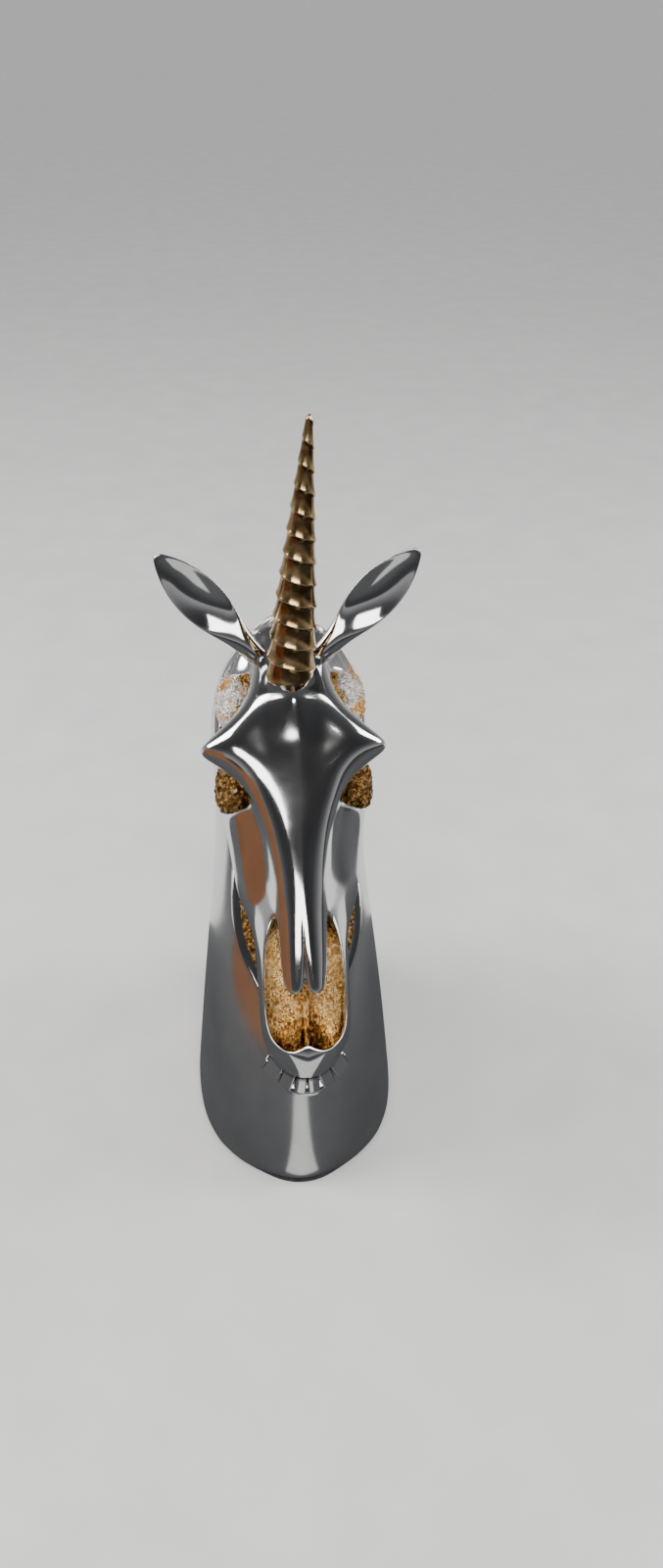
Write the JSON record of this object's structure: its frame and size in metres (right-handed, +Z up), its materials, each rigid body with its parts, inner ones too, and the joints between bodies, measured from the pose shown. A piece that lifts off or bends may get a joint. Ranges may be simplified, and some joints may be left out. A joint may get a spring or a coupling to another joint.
{
  "type": "unicorn figurine",
  "caption": "Free-standing mirror-plated unicorn bust with a bare-skull face, gold textured inlays, a spiral horn, leaf-shaped ears and a hollow neck on a flat base",
  "frame": {"origin": "middle of the underside of the sole, on the surface that the bust stands on", "axes": "+Z up to the horn, -Y is where the face looks, +X to the right of someone facing the bust"},
  "size_m": [0.0932, 0.166, 0.2975],
  "materials": {
    "mirror_plate": "mirror",
    "gold_texture": "rough",
    "horn_bronze": "polished",
    "pin_steel": "brushed",
    "base_board": "matte",
    "sole_rubber": "matte"
  },
  "bodies": {
    "root": {"neck_shell": "mirror_plate", "skull": "mirror_plate", "lower_jaw": "mirror_plate", "mouth_core": "gold_texture", "horn": "horn_bronze", "horn_stud": "pin_steel", "ear_left": "mirror_plate", "ear_right": "mirror_plate", "ear_dowels": "pin_steel", "upper_incisors": "mirror_plate", "lower_incisors": "mirror_plate", "nasal_lining": "gold_texture", "eye_inlay_left": "gold_texture", "eye_inlay_right": "gold_texture", "temple_inlay_left": "gold_texture", "temple_inlay_right": "gold_texture", "neck_dowels": "pin_steel", "jaw_dowels": "pin_steel", "base_plate": "base_board", "rubber_sole": "sole_rubber"}
  },
  "joints": []
}
